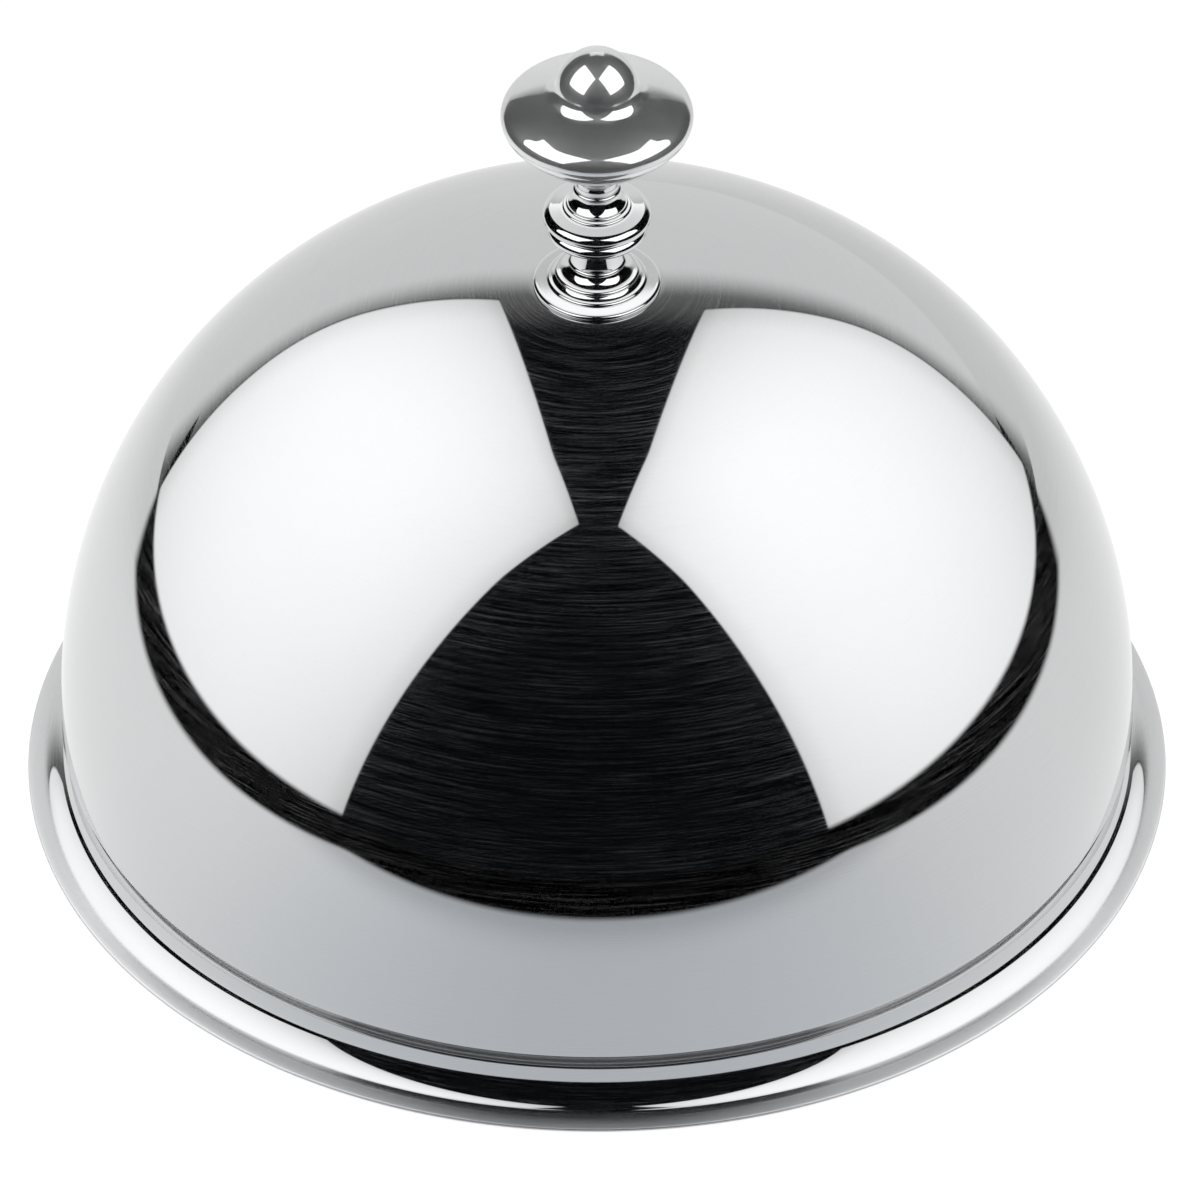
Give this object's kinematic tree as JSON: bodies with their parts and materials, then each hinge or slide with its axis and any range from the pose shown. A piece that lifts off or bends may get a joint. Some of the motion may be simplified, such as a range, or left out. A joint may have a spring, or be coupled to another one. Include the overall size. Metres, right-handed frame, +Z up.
{
  "type": "buffet food cover dome",
  "caption": "Mirror-polished steel food cover: a near-hemispherical dome with a waisted foot and flat rim, and a turned mushroom knob on a beaded stem.",
  "frame": {"origin": "centre of the rim's underside, on the plane that the cover rests on", "axes": "+Z up along the axis of the dome and the handle; the object is round, so X and Y are free"},
  "size_m": [0.24, 0.24, 0.1875],
  "materials": {
    "polished_steel": "mirror-polished stainless steel",
    "plain_steel": "plain bright stainless steel",
    "gasket": "matte black rubber"
  },
  "bodies": {
    "root": {"dome_shell": "polished_steel", "base_rosette": "polished_steel", "pedestal": "polished_steel", "lower_collar": "polished_steel", "upper_collar": "polished_steel", "baluster": "polished_steel", "knob": "polished_steel", "tie_stud": "plain_steel", "backing_washer": "plain_steel", "lock_washer": "plain_steel", "cap_nut": "plain_steel", "crown_gasket": "gasket"}
  },
  "joints": []
}
